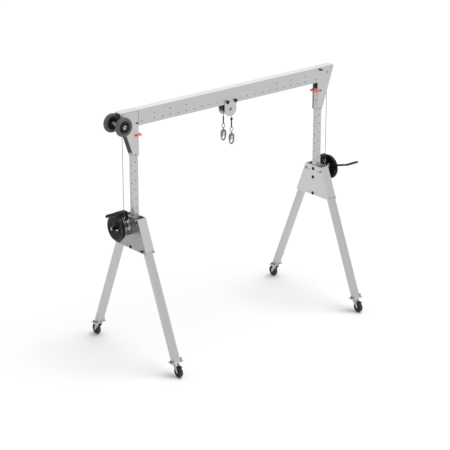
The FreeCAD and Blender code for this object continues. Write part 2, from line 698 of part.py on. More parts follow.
def rope_shape(edges):
    """A round rope along a wire of edges that starts at the first edge's first end."""
    wire = Part.Wire(edges)
    first = edges[0]
    point = first.valueAt(first.FirstParameter)
    heading = first.tangentAt(first.FirstParameter)
    ring = Part.Wire(Part.Circle(point, heading, value("rope_size / 2")).toShape())
    return wire.makePipeShell([ring], True, False)


def beam_rope(side):
    """The part of a winch rope that stays in the beam: up over the end sheave, along to the pulley
    bracket and over the sheave there."""
    radius = value("sheave_pitch")
    y = side * value("rope_side")
    end_centre = FreeCAD.Vector(side * value("mast_at + sheave_out"), y, value("sheave_up"))
    mid_centre = FreeCAD.Vector(value("bracket_at"), y, value("bracket_axle"))
    # both sheaves have one radius, so the straight run is parallel to the line of their centres
    along = end_centre - mid_centre
    run = along.Length
    lift = FreeCAD.Vector(-side * along.z / run, 0, side * along.x / run)
    outward = FreeCAD.Vector(side, 0, 0)

    def arc(centre, from_dir, to_dir):
        middle = from_dir + to_dir
        middle.normalize()
        return Part.Arc(centre + from_dir * radius, centre + middle * radius, centre + to_dir * radius)

    start = end_centre + outward * radius
    low = FreeCAD.Vector(start.x, y, value("beam_base"))
    edges = [
        Part.LineSegment(low, start).toShape(),
        arc(end_centre, outward, lift).toShape(),
        Part.LineSegment(end_centre + lift * radius, mid_centre + lift * radius).toShape(),
        arc(mid_centre, lift, -outward).toShape(),
    ]
    return rope_shape(edges)


def shaped(shape, name):
    """An object of the document whose shape is made by Part's own functions."""
    thing = doc.addObject("Part::Feature", name)
    thing.Shape = shape
    return thing


def line_at(side):
    """The left winch's rope comes down on the right of its sheave, and the other way round."""
    return "bracket_at + " + signed(side, "-sheave_pitch")


def line_top(side):
    """Where a rope ends. The rope of the left winch hangs lower than the other."""
    return "bracket_axle - line_drop" if side > 0 else "bracket_axle - line_drop_low"


def ropes():
    """Each winch rope in three: to the beam, in the beam and down to the hook."""
    node(group(*[shaped(beam_rope(side), "rope") for side in (-1, 1)]), "beam_ropes")
    for side, name in ((-1, "left"), (1, "right")):
        y = signed(side, "rope_side")
        up = rod("rope_size", "beam_base - winch_up", signed(side, "mast_at + rope_out"), y, "winch_up")
        node(up, "winch_rope_" + name)
        down = rod("rope_size", "bracket_axle - (%s)" % line_top(side), line_at(side), y, line_top(side))
        node(down, "hook_rope_" + name)


def hook_line(side, label):
    """The swaged ferrule at the end of a rope and the eye below it, with a ball on the lower rope."""
    ferrule = rod("ferrule_size", "ferrule_long", "0", "0", "-ferrule_long")
    eye = doc.addObject("Part::Torus", "eye")
    bind(eye, "Radius1", "eye_size / 2 - eye_wire / 2")
    bind(eye, "Radius2", "eye_wire / 2")
    place(eye, 0, 0, "-ferrule_long - eye_size / 2 + eye_wire / 2", X_AXIS, "90")
    parts = [ferrule, eye]
    if side < 0:
        ball = doc.addObject("Part::Sphere", "ball")
        bind(ball, "Radius", "ball_size / 2")
        place(ball, 0, 0, "ball_rise")
        parts.append(less(ball, rod("rope_size + 2 * running", "ball_size", "0", "0", "-weld")))
    whole = joined(*parts)
    node(place(whole, line_at(side), signed(side, "rope_side"), line_top(side)), label)


def hook(side, label):
    """A swivelling snap hook: a neck through the eye, broad shoulders and a closed bow."""
    flank = "hook_wide / 2"
    outline = [
        ("-hook_top / 2", "0"),
        ("hook_top / 2", "0"),
        (flank, "-hook_slope"),
        (flank, "-hook_belly"),
        ("hook_wide / 2 - hook_corner", "-hook_tall + hook_corner"),
        ("hook_top / 2", "-hook_tall"),
        ("-hook_top / 2", "-hook_tall"),
        ("-hook_wide / 2 + hook_corner", "-hook_tall + hook_corner"),
        (negative(flank), "-hook_belly"),
        (negative(flank), "-hook_slope"),
    ]
    mouth = [
        ("0", "-mouth_top"),
        ("hook_wide / 2 - hook_bar", "-mouth_wide"),
        ("mouth_floor / 2", "-hook_tall + hook_bar"),
        ("-mouth_floor / 2", "-hook_tall + hook_bar"),
        ("-hook_wide / 2 + hook_bar", "-mouth_wide"),
    ]
    body = new_body()
    pad(body, sketch(body, "XZ_Plane", [outline, mouth]), "hook_thick")
    place(body, 0, 0, "-hook_neck")
    neck = rod("neck_size", "neck_long", "0", "0", "-hook_neck - neck_lap")
    level = line_top(side) + " - ferrule_long - eye_size + eye_wire / 2 + neck_tip - running"
    whole = joined(body, neck)
    node(place(whole, line_at(side), signed(side, "rope_side"), level), label)


# ---------------------------------------------------------------- the whole crane

beam()
for side, name in ((-1, "left"), (1, "right")):
    mast(side, "mast_" + name)
    end_bracket(side, "end_bracket_" + name)
    latch_lever(side, "latch_lever_" + name)
    head(side, "head_" + name)
    lock_pins(side, "lock_pins_" + name)
    winch(side, "winch_" + name)
    crank(side, CRANK_ANGLE[side], "crank_" + name)
    for flank, where in ((-1, "near"), (1, "far")):
        corner = "_%s_%s" % (name, where)
        leg(side, flank, "leg" + corner)
        foot(side, flank, "foot" + corner)
        castor_fork(side, flank, "castor_fork" + corner)
        castor_wheel(side, flank, "castor_wheel" + corner)
    hook_line(side, "hook_line_" + name)
    hook(side, "hook_" + name)
rope_sheaves()
pulley_bracket()
cart_wheel(-1, "transport_wheel_near")
cart_wheel(1, "transport_wheel_far")
ropes()

doc.recompute()

failed = [thing.Label for thing in doc.Objects if "Invalid" in thing.State or "Error" in thing.State]
if failed:
    raise RuntimeError("these did not recompute: %s" % ", ".join(failed))
for thing in nodes:
    if thing.Shape.isNull() or not thing.Shape.isValid() or not thing.Shape.Solids:
        raise RuntimeError("%s has no valid solid" % thing.Label)

os.makedirs("parts", exist_ok=True)
for thing in nodes:
    thing.Shape.exportStep("parts/%s.step" % thing.Label)
    bounds = thing.Shape.BoundBox
    print("%-26s %2d solids %9.1f cm3  x %7.1f %7.1f  y %6.1f %6.1f  z %6.1f %6.1f" % (
        thing.Label, len(thing.Shape.Solids), thing.Shape.Volume / 1000,
        bounds.XMin, bounds.XMax, bounds.YMin, bounds.YMax, bounds.ZMin, bounds.ZMax))
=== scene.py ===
import json
import math
import bmesh
import bpy
from mathutils import Matrix, Vector


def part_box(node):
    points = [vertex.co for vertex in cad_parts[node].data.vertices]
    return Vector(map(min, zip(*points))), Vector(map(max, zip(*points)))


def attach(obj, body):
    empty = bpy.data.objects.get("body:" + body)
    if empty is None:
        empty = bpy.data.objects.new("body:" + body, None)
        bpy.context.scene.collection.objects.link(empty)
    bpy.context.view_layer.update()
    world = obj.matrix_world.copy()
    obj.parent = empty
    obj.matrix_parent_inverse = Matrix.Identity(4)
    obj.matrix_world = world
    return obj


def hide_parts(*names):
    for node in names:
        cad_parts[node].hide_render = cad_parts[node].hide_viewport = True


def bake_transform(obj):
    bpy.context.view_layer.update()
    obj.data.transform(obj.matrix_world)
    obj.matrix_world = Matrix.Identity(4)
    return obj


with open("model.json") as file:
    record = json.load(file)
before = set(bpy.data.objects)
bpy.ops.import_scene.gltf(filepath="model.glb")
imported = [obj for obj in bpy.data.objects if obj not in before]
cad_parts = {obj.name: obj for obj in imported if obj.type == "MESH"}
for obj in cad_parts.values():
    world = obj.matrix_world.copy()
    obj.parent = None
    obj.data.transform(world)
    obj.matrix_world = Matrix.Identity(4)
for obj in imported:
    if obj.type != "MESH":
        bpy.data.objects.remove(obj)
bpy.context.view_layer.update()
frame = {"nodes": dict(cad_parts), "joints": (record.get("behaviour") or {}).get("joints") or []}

# A portable aluminium gantry crane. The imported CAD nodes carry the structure. This script gives them
# their finish and builds the fine pieces round them. Metres, +X along the beam, +Z up, floor at z = 0.

X, Y, Z = Vector((1, 0, 0)), Vector((0, 1, 0)), Vector((0, 0, 1))
SIDES = {"left": -1, "right": 1}
FLANKS = {"near": -1, "far": 1}
JOINTS = {joint["name"]: joint for joint in frame["joints"]}


def middle(node):
    """The middle of a CAD node's box."""
    low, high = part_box(node)
    return (low + high) / 2


def pivot(joint):
    return Vector(JOINTS[joint]["pos_m"])


# ---------------------------------------------------------------- materials

def surface(name, colour, metallic, roughness, grain=(60, 60, 60), tint=0.06, rough_swing=0.08,
            bump=0.15, bump_depth=0.0003, turn=0.0, end_shade=1.0, top_light=0.0, **sockets):
    """A procedural finish: colour, roughness and bump all vary with noise that is stretched by grain.
    end_shade darkens the faces that look along X as painted shade, and top_light whitens the ones that look
    up as a painted highlight."""
    material = bpy.data.materials.new(name)
    material.use_nodes = True
    tree = material.node_tree
    nodes, links = tree.nodes, tree.links
    shader = nodes["Principled BSDF"]
    shader.inputs["Metallic"].default_value = metallic
    for socket, value in sockets.items():
        shader.inputs[socket.replace("_", " ")].default_value = value
    place = nodes.new("ShaderNodeTexCoord")
    stretch = nodes.new("ShaderNodeMapping")
    stretch.inputs["Scale"].default_value = grain
    stretch.inputs["Rotation"].default_value = (turn, 0, 0)
    links.new(place.outputs["Object"], stretch.inputs["Vector"])
    noise = nodes.new("ShaderNodeTexNoise")
    noise.inputs["Scale"].default_value = 1.0
    noise.inputs["Detail"].default_value = 4.0
    links.new(stretch.outputs["Vector"], noise.inputs["Vector"])
    broad = nodes.new("ShaderNodeTexNoise")
    broad.inputs["Scale"].default_value = 3.0
    broad.inputs["Detail"].default_value = 2.0
    links.new(place.outputs["Object"], broad.inputs["Vector"])
    shades = nodes.new("ShaderNodeValToRGB")
    dark = [max(0.0, c * (1 - tint)) for c in colour]
    light = [min(1.0, c * (1 + tint)) for c in colour]
    shades.color_ramp.elements[0].color = (*dark, 1)
    shades.color_ramp.elements[0].position = 0.3
    shades.color_ramp.elements[1].color = (*light, 1)
    shades.color_ramp.elements[1].position = 0.7
    links.new(noise.outputs["Fac"], shades.inputs["Fac"])
    colour_out = shades.outputs["Color"]
    shape = nodes.new("ShaderNodeNewGeometry")
    split = nodes.new("ShaderNodeSeparateXYZ")
    links.new(shape.outputs["Normal"], split.inputs["Vector"])
    # painted shade on the faces along X, and a painted highlight on the faces that look up
    for axis, operation, other, blend, strength in (("X", "ABSOLUTE", end_shade, "MULTIPLY", end_shade < 1),
                                                    ("Z", "MAXIMUM", 0.95, "MIX", top_light)):
        if not strength:
            continue
        facing = nodes.new("ShaderNodeMath")
        facing.operation = operation
        facing.inputs[1].default_value = 0.0
        links.new(split.outputs[axis], facing.inputs[0])
        amount = nodes.new("ShaderNodeMath")
        amount.operation = "MULTIPLY"
        amount.inputs[1].default_value = float(strength)
        links.new(facing.outputs["Value"], amount.inputs[0])
        change = nodes.new("ShaderNodeMix")
        change.data_type = "RGBA"
        change.blend_type = blend
        change.inputs["B"].default_value = (other, other, other, 1)
        links.new(amount.outputs["Value"], change.inputs["Factor"])
        links.new(colour_out, change.inputs["A"])
        colour_out = change.outputs["Result"]
    links.new(colour_out, shader.inputs["Base Color"])
    swing = nodes.new("ShaderNodeMapRange")
    swing.inputs["To Min"].default_value = roughness - rough_swing
    swing.inputs["To Max"].default_value = roughness + rough_swing
    links.new(broad.outputs["Fac"], swing.inputs["Value"])
    links.new(swing.outputs["Result"], shader.inputs["Roughness"])
    relief = nodes.new("ShaderNodeBump")
    relief.inputs["Strength"].default_value = bump
    relief.inputs["Distance"].default_value = bump_depth
    links.new(noise.outputs["Fac"], relief.inputs["Height"])
    links.new(relief.outputs["Normal"], shader.inputs["Normal"])
    return material


LEAN = math.atan2(middle("foot_left_far").y - pivot("leg_fold_left_far").y,
                  pivot("leg_fold_left_far").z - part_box("foot_left_far")[0].z)
ALU = (0.53, 0.532, 0.535)
CRANK_TURN = {"left": math.radians(121), "right": math.radians(164)}
MATERIALS = {
    # top_light paints a highlight on the upward faces of the beam
    "beam": surface("extruded_beam", ALU, 0.75, 0.42, grain=(3, 500, 500), top_light=0.85),
    "mast": surface("extruded_mast", ALU, 0.75, 0.40, grain=(500, 500, 3)),
    "leg_near": surface("extruded_leg_near", ALU, 0.75, 0.42, grain=(500, 500, 3), turn=-LEAN),
    "leg_far": surface("extruded_leg_far", ALU, 0.75, 0.42, grain=(500, 500, 3), turn=LEAN),
    # top_light paints a highlight on the upward faces of the brackets' folded sheet
    "sheet": surface("folded_sheet", ALU, 0.80, 0.34, grain=(40, 40, 400), top_light=0.85),
    # the two heads are one sheet in two copies: the left copy's faces along X carry painted shade, a painted
    # reflection of the dark winch, and the copies' tones differ as painted light
    "head_left": surface("head_sheet_left_painted_shade", (0.62, 0.625, 0.63), 0.75, 0.34, grain=(30, 30, 500),
                         rough_swing=0.05, end_shade=0.55),
    "head_right": surface("head_sheet_right_painted_tone", (0.58, 0.585, 0.59), 0.75, 0.34, grain=(30, 30, 500),
                          rough_swing=0.05),
    "cast": surface("cast_plate", (0.62, 0.62, 0.62), 0.70, 0.38, grain=(90, 90, 90), bump=0.3),
    "zinc": surface("zinc_plate", (0.40, 0.40, 0.405), 0.90, 0.32, grain=(150, 150, 150), tint=0.10),
    "forged": surface("forged_hook", (0.22, 0.22, 0.225), 0.80, 0.34, grain=(150, 150, 150), tint=0.12),
    "bright": surface("bright_steel", (0.70, 0.70, 0.70), 1.0, 0.16, grain=(200, 200, 200)),
    "rope": surface("wire_rope", (0.13, 0.13, 0.13), 0.6, 0.45, grain=(700, 700, 700), tint=0.2),
    "black": surface("black_coat", (0.004, 0.004, 0.0042), 0.0, 0.30, grain=(900, 900, 900),
                     bump=0.15, tint=0.25, rough_swing=0.05, Specular_IOR_Level=0.16),
    "rib": surface("worn_black", (0.16, 0.16, 0.165), 0.5, 0.35, grain=(300, 300, 300), tint=0.3),
    "plastic": surface("black_plastic", (0.008, 0.008, 0.009), 0.0, 0.38, grain=(1200, 1200, 1200),
                       bump=0.2, tint=0.2, Specular_IOR_Level=0.25),
    "tyre": surface("cart_tyre_rubber", (0.085, 0.085, 0.087), 0.0, 0.62, grain=(400, 400, 400),
                    bump=0.4, tint=0.2),
    "tread": surface("castor_rubber", (0.022, 0.022, 0.023), 0.0, 0.55, grain=(500, 500, 500),
                     bump=0.3, tint=0.2),
    "red": surface("lever_paint", (0.88, 0.14, 0.11), 0.0, 0.35, grain=(300, 300, 300), bump=0.1),
}


# ---------------------------------------------------------------- shape making

def square_to(axis):
    """Three directions at right angles, the last along the axis."""
    along = Vector(axis).normalized()
    helper = Z if abs(along.z) < 0.9 else X
    across = helper.cross(along).normalized()
    return across, along.cross(across), along


class Piece:
    """One visible piece, joined from shapes that each have a material."""

    def __init__(self, name):
        self.name = name
        self.whole = bmesh.new()
        self.finishes = []

    def take(self, part, material, bevel=0.0, steps=2):
        """Adds one shape, with its sharp edges rounded off."""
        bmesh.ops.recalc_face_normals(part, faces=part.faces)
        if bevel:
            sharp = [edge for edge in part.edges
                     if len(edge.link_faces) == 2 and edge.calc_face_angle(0) > 0.6]
            bmesh.ops.bevel(part, geom=sharp, offset=bevel, segments=steps, profile=0.5, affect="EDGES",
                            clamp_overlap=True)
        if material not in self.finishes:
            self.finishes.append(material)
        for face in part.faces:
            face.material_index = self.finishes.index(material)
        scratch = bpy.data.meshes.new("scratch")
        part.to_mesh(scratch)
        part.free()
        self.whole.from_mesh(scratch)
        bpy.data.meshes.remove(scratch)
        return self

    def box(self, low, high, material, bevel=0.001, turn=None):
        """A block between two corners. turn is a matrix about its middle."""
        low, high = Vector(low), Vector(high)
        part = bmesh.new()
        bmesh.ops.create_cube(part, size=1.0)
        size = Matrix.Diagonal((*(high - low), 1.0))
        spin = turn.to_4x4() if turn is not None else Matrix.Identity(4)
        bmesh.ops.transform(part, matrix=Matrix.Translation((low + high) / 2) @ spin @ size,
                            verts=part.verts)
        return self.take(part, material, bevel)

    def lathe(self, profile, origin, axis, material, steps=48, stretch=None):
        """Turns a profile of (radius, distance along the axis) about the axis. stretch is a direction
        and a factor that the round widens by."""
        across, up, along = square_to(axis)
        part = bmesh.new()
        rings = []
        for radius, distance in profile:
            base = Vector(origin) + along * distance
            if radius < 1e-6:
                rings.append([part.verts.new(base)])
                continue
            rings.append([part.verts.new(base + (across * math.cos(a) + up * math.sin(a)) * radius)
                          for a in (2 * math.pi * i / steps for i in range(steps))])
        for ring, after in zip(rings, rings[1:]):
            for i in range(steps):
                j = (i + 1) % steps
                corners = [ring[i % len(ring)], ring[j % len(ring)],
                           after[j % len(after)], after[i % len(after)]]
                unique = list(dict.fromkeys(corners))
                if len(unique) > 2:
                    part.faces.new(unique)
        for ring in (rings[0], rings[-1]):
            if len(ring) > 1 and profile[0] != profile[-1]:
                part.faces.new(ring)
        if profile[0] == profile[-1]:
            bmesh.ops.remove_doubles(part, verts=part.verts, dist=1e-7)
        if stretch:
            way, factor = stretch
            for vert in part.verts:
                vert.co += way * (vert.co - Vector(origin)).dot(way) * (factor - 1)
        return self.take(part, material)

    def prism(self, outline, origin, u, v, thick, material, bevel=0.001, cuts=()):
        """A plate: an outline in the directions u and v, thickened along u × v. Cuts are outlines too."""
        u, v = Vector(u).normalized(), Vector(v).normalized()
        normal = u.cross(v)
        part = bmesh.new()
        edges = []
        for loop in [outline, *cuts]:
            verts = [part.verts.new(Vector(origin) + u * a + v * b) for a, b in loop]
            edges += [part.edges.new((verts[i], verts[(i + 1) % len(verts)])) for i in range(len(verts))]
        bmesh.ops.triangle_fill(part, use_beauty=True, use_dissolve=False, edges=edges)
        bmesh.ops.dissolve_limit(part, angle_limit=0.01, verts=part.verts, edges=part.edges)
        made = bmesh.ops.extrude_face_region(part, geom=list(part.faces))
        bmesh.ops.translate(part, vec=normal * thick, verts=[g for g in made["geom"]
                                                             if isinstance(g, bmesh.types.BMVert)])
        return self.take(part, material, bevel)

    def tube(self, path, radius, material, steps=12, closed=False, lobes=0, pitch=0.04):
        """A round bar along points. With lobes it is a rope of that many strands, laid at a pitch."""
        points = [Vector(p) for p in path]
        count = len(points)
        part = bmesh.new()
        rings = []
        along = (points[1] - points[0]).normalized()
        across = square_to(along)[0]
        travelled = 0.0
        for i, point in enumerate(points):
            before = points[i - 1] if i or closed else point
            after = points[(i + 1) % count] if i < count - 1 or closed else point
            heading = (after - before).normalized()
            across = (across - heading * across.dot(heading)).normalized()
            up = heading.cross(across)
            if i:
                travelled += (point - points[i - 1]).length
            lay = 2 * math.pi * travelled / pitch
            ring = []
            for k in range(steps):
                angle = 2 * math.pi * k / steps
                reach = radius * (0.84 + 0.16 * abs(math.cos(lobes / 2 * angle))) if lobes else radius
                turned = angle + (lay if lobes else 0.0)
                way = across * math.cos(turned) + up * math.sin(turned)
                ring.append(part.verts.new(point + way * reach))
            rings.append(ring)
        pairs = list(zip(rings, rings[1:])) + ([(rings[-1], rings[0])] if closed else [])
        for ring, after in pairs:
            for k in range(steps):
                j = (k + 1) % steps
                part.faces.new((ring[k], ring[j], after[j], after[k]))
        if not closed:
            part.faces.new(rings[0])
            part.faces.new(rings[-1])
        return self.take(part, material)

    def bolt(self, centre, axis, across_flats, material="zinc", thick=None):
        """A hexagon head on a washer, standing on the point centre."""
        size = across_flats / 2
        thick = thick or across_flats * 0.55
        self.lathe([(0, 0), (size * 1.45, 0), (size * 1.45, thick * 0.2), (0, thick * 0.2)], centre, axis,
                   material, 24)
        u, v, along = square_to(axis)
        corners = [(size * 1.12 * math.cos(math.pi * i / 3), size * 1.12 * math.sin(math.pi * i / 3))
                   for i in range(6)]
        self.prism(corners, Vector(centre) + along * thick * 0.2, u, v, thick * 0.8, material,
                   bevel=size * 0.12)
        return self

    def done(self, body=None, replaces=()):
        """Makes the object, shades it smooth but for its sharp edges, and joins it to its body."""
        mesh = bpy.data.meshes.new(self.name)
        for edge in self.whole.edges:
            if len(edge.link_faces) == 2 and edge.calc_face_angle(0) > 0.7:
                edge.smooth = False
        for face in self.whole.faces:
            face.smooth = True
        self.whole.to_mesh(mesh)
        self.whole.free()
        for material in self.finishes:
            mesh.materials.append(MATERIALS[material])
        thing = bpy.data.objects.new(self.name, mesh)
        bpy.context.scene.collection.objects.link(thing)
        if body:
            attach(thing, body)
        if replaces:
            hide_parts(*replaces)
        return thing


# ---------------------------------------------------------------- finishes of the CAD nodes

def finish_nodes():
    """Gives each CAD node that stays its own finish."""
    kinds = {"beam": "beam", "mast": "mast", "end_bracket": "sheet", "pulley_bracket": "sheet",
             "head_left": "head_left", "head_right": "head_right",
             "foot": "cast", "rope_sheaves": "plastic", "beam_ropes": "rope", "winch_rope": "rope",
             "hook_rope": "rope", "latch_lever": "red", "lock_pins": "plastic", "winch": "black",
             "crank": "zinc", "castor_fork": "zinc", "castor_wheel": "tread", "transport_wheel": "tyre",
             "hook_line": "zinc", "hook": "zinc"}
    for name, thing in frame["nodes"].items():
        if name.startswith("leg_"):
            kind = "leg_near" if name.endswith("near") else "leg_far"
        else:
            kind = kinds[max((k for k in kinds if name.startswith(k)), key=len)]
        thing.data.materials.clear()
        thing.data.materials.append(MATERIALS[kind])


# ---------------------------------------------------------------- winches and cranks

def winch_axis(side):
    """The middle of the winch's axis on the face of its head, and the direction outward."""
    name = "winch_" + side
    low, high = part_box(name)
    out = SIDES[side]
    face = low.x if out > 0 else high.x
    return Vector((face, (low.y + high.y) / 2, pivot("crank_turn_" + side).z)), X * out


def ring_of(centre, u, v, radius, count):
    """Points evenly round a circle in the plane of two directions."""
    return [centre + (u * math.cos(t) + v * math.sin(t)) * radius
            for t in (2 * math.pi * i / count for i in range(count))]


def winch(side):
    """The hand winch: mounting plate, rope drum, strut, cowl and ribbed gear housing."""
    origin, out = winch_axis(side)
    low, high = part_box("winch_" + side)
    gear, gear_thick, drum_long = 0.140, 0.045, 0.101
    gear_start = high.x - low.x - gear_thick
    drum_start = gear_start - drum_long
    piece = Piece("winch_body_" + side)

    def block(x0, x1, y0, y1, z0, z1, material, bevel=0.002):
        ends = sorted((origin + out * x).x for x in (x0, x1))
        return piece.box((ends[0], origin.y + y0, origin.z + z0), (ends[1], origin.y + y1, origin.z + z1),
                         material, bevel)

    block(0, 0.006, -0.055, 0.055, -0.095, 0.075, "zinc")
    block(0.004, gear_start + 0.005, -0.045, 0.045, -0.095, -0.089, "zinc")
    for y in (-0.040, 0.040):
        for z in (-0.078, 0.056):
            piece.bolt(origin + out * 0.006 + Y * y + Z * z, out, 0.013)
    piece.lathe([(0, 0.004), (0.015, 0.004), (0.015, 0.060), (0, 0.060)], origin, out, "zinc", 24)
    wraps = 15
    profile = [(0, drum_start), (0.019, drum_start)]
    for i in range(wraps):
        for step in range(6):
            turn = math.pi * step / 6
            profile.append((0.0195 + 0.0030 * math.sin(turn),
                            drum_start + (i + step / 6) * drum_long / wraps))
    profile += [(0.019, gear_start), (0, gear_start)]
    piece.lathe(profile, origin, out, "rope", 40)
    piece.lathe([(0, drum_start - 0.004), (0.046, drum_start - 0.004), (0.048, drum_start - 0.002),
                 (0.046, drum_start), (0, drum_start)], origin, out, "zinc", 56)
    # the housing: a rounded rim and three rings on the outer face
    rings = [(0, 0), (gear - 0.008, 0), (gear - 0.002, 0.003), (gear, 0.010), (gear, 0.028),
             (gear - 0.003, 0.035), (gear - 0.012, 0.0385), (gear - 0.020, 0.0385), (gear - 0.023, 0.035),
             (gear - 0.036, 0.035), (gear - 0.039, 0.0405), (gear - 0.048, 0.0405), (gear - 0.051, 0.037),
             (gear - 0.066, 0.037), (gear - 0.069, 0.0425), (gear - 0.078, 0.0425), (gear - 0.081, 0.039),
             (0.040, 0.039), (0.037, 0.0445), (0.024, 0.045), (0, 0.045)]
    piece.lathe([(r, gear_start + d) for r, d in rings], origin, out, "black", 96)
    # worn crowns on the rings, and bolts between them
    for radius in (gear - 0.016, gear - 0.0435, gear - 0.0735):
        crown = ring_of(origin + out * (gear_start + 0.0385), Y, Z, radius, 72)
        piece.tube(crown, 0.0022, "rib", 8, closed=True)
    for i in range(6):
        turn = math.pi * (i / 3 + 1 / 6)
        centre = origin + out * (gear_start + 0.035) + (Y * math.cos(turn) + Z * math.sin(turn)) * 0.0745
        piece.bolt(centre, out, 0.010, "plastic", 0.006)
    for i in range(8):
        turn = math.pi * i / 4 + 0.2
        centre = origin + out * (gear_start + 0.002) + (Y * math.cos(turn) + Z * math.sin(turn)) * 0.128
        piece.lathe([(0, 0), (0.006, 0), (0.006, -0.004), (0, -0.004)], centre, out, "zinc", 16)
    # the cowl over the drum, with a raised panel
    block(0.022, gear_start + 0.002, -0.016, 0.060, 0.050, 0.155, "black", 0.012)
    block(0.040, gear_start - 0.012, -0.019, -0.014, 0.064, 0.138, "black", 0.003)
    # the pawl's bright bar across the hub
    block(gear_start + 0.0385, gear_start + 0.0450, -0.061, 0.061, -0.012, 0.000, "bright", 0.001)
    # a bright forked guide holds the rope in front of the cowl
    rope = Vector((middle("winch_rope_" + side).x, middle("winch_rope_" + side).y, origin.z))
    for swing in (-0.016, 0.016):
        piece.tube([rope + Z * 0.060 + Y * 0.006, rope + Z * 0.075 + Y * 0.005 + X * swing * 0.4,
                    rope + Z * 0.108 + Y * 0.006 + X * swing], 0.0028, "bright", 8)
    piece.done("head_" + side, ["winch_" + side])


def crank(side):
    """The crank: a hub on the housing, a flat arm and an oval grip that turns on a bolt."""
    low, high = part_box("crank_" + side)
    out = X * SIDES[side]
    axis = pivot("crank_turn_" + side)
    inner = low.x if SIDES[side] > 0 else high.x
    outer = high.x if SIDES[side] > 0 else low.x
    origin = Vector((inner, axis.y, axis.z))
    reach = abs(outer - inner)
    arm, hub_long, arm_at = 0.250, 0.035, 0.0265
    turn = CRANK_TURN[side]
    heading = Vector((0, math.cos(turn), math.sin(turn)))
    beside = out.cross(heading)
    piece = Piece("crank_arm_" + side)
    piece.lathe([(0, 0), (0.019, 0), (0.020, 0.002), (0.020, 0.018), (0.016, 0.023), (0.013, 0.024),
                 (0.013, 0.033), (0.011, hub_long), (0, hub_long)], origin, out, "black", 32)
    # the flat arm: round at both ends and a little narrower towards the grip
    wide, tip, butt = 0.012, 0.010, 0.016
    twelfths = [math.pi * i / 12 for i in range(13)]
    outline = [(-butt, 0)]
    outline += [(-butt * math.cos(t), -butt * math.sin(t)) for t in twelfths[1:6]]
    outline += [(0.02, -wide), (arm - 0.02, -tip)]
    outline += [(arm + wide * math.sin(t), -wide * math.cos(t)) for t in twelfths]
    outline += [(arm - 0.02, tip), (0.02, wide)]
    outline += [(-butt * math.cos(t), butt * math.sin(t)) for t in twelfths[5:0:-1]]
    piece.prism(outline, origin + out * arm_at, heading, beside, 0.008, "black", 0.0012)
    piece.bolt(origin + out * 0.0340, out, 0.014, "bright", 0.006)
    grip = origin + heading * arm
    start = 0.0414
    profile = [(0, start), (0.010, start), (0.0118, start + 0.004), (0.0120, start + 0.012)]
    steps = 22
    for i in range(1, steps):
        profile.append((0.0118 + 0.0010 * (i % 2), start + 0.012 + (reach - start - 0.024) * i / steps))
    profile += [(0.0120, reach - 0.012), (0.0105, reach - 0.003), (0.006, reach - 0.0005),
                (0, reach - 0.0005)]
    oval = 1.92
    piece.lathe(profile, grip, out, "plastic", 40, (heading, oval))
    piece.lathe([(0, 0.027), (0.007, 0.027), (0.007, start + 0.001), (0, start + 0.001)], grip, out,
                "zinc", 20)
    piece.done("crank_" + side, ["crank_" + side])


# ---------------------------------------------------------------- heads

def head_fittings(side):
    """Bolts, rivets, bush caps and lock pins on the two faces of a head."""
    node = "head_" + side
    low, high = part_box(node)
    out = X * SIDES[side]
    top = high.z
    pin_up, pin_pitch, low_bush = top - 0.040, 0.100, low.z + 0.024
    hinge = pivot("leg_fold_%s_far" % side)
    bushes = Piece("bushes_" + side)
    for way in (-1, 1):
        face = Vector(((high.x if way > 0 else low.x), 0, 0))
        normal = X * way
        for level in (pin_up, pin_up - pin_pitch, low_bush):
            # the bush's lip and the dark cap in it
            spot = face + Z * level
            bushes.lathe([(0.0125, -0.006), (0.0165, -0.006), (0.0165, 0.0), (0.0195, 0.0),
                          (0.0195, 0.0015), (0.0135, 0.0015), (0.0125, -0.006)], spot, normal, "plastic", 32)
            bushes.lathe([(0, -0.0055), (0.0135, -0.0055), (0.0135, -0.0035), (0, -0.0035)], spot, normal,
                         "plastic", 28)
    bushes.done(node)
    bolts = Piece("head_bolts_" + side)
    # rivets stand beside the leg's middle line, all the way down
    rivet_off, rivet_pitch = 0.020, 0.060
    rivets = [top - 0.045 - rivet_pitch * i for i in range(4, -1, -1)]
    edge = {z: hinge.y + (hinge.z - z) * math.tan(LEAN) + rivet_off for z in rivets}
    for way in (-1, 1):
        face = Vector(((high.x if way > 0 else low.x), 0, 0))
        normal = X * way
        for flank in (-1, 1):
            bolts.bolt(face + Y * flank * hinge.y + Z * hinge.z, normal, 0.021, "zinc")
            bolts.bolt(face + Y * flank * 0.072 + Z * (top - 0.061), normal, 0.010, "zinc", 0.004)
            bolts.bolt(face + Y * flank * 0.052 + Z * (low.z + 0.039), normal, 0.010, "zinc", 0.004)
            for level, away in edge.items():
                bolts.lathe([(0, 0), (0.0045, 0), (0.0038, 0.0018), (0, 0.0026)],
                            face + Y * flank * away + Z * level, normal, "zinc", 12)
    bolts.done(node)
    # a ring-headed pin on a corner of the outer face
    ring = Piece("corner_pin_" + side)
    root = Vector((high.x if SIDES[side] > 0 else low.x, -0.104, top - 0.013))
    ring.lathe([(0, 0), (0.006, 0), (0.006, 0.010), (0.011, 0.010), (0.012, 0.012), (0.012, 0.018),
                (0.010, 0.020), (0, 0.020)], root, out, "zinc", 24)
    loop = ring_of(root + out * 0.014 - Y * 0.012 + Z * 0.014, Y, Z, 0.016, 24)
    ring.tube(loop, 0.0016, "bright", 8, closed=True)
    ring.done(node)
    pins = Piece("lock_pin_handles_" + side)
    pin_low, pin_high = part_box("lock_pins_" + side)
    root_x = pin_low.x if SIDES[side] > 0 else pin_high.x
    level = (pin_low.z + pin_high.z) / 2
    for flank in (-1, 1):
        spot = Vector((root_x, flank * (pin_high.y - 0.025), level))
        t_handle(pins, spot, out, Y, 0.022)
    pins.done(node, ["lock_pins_" + side])


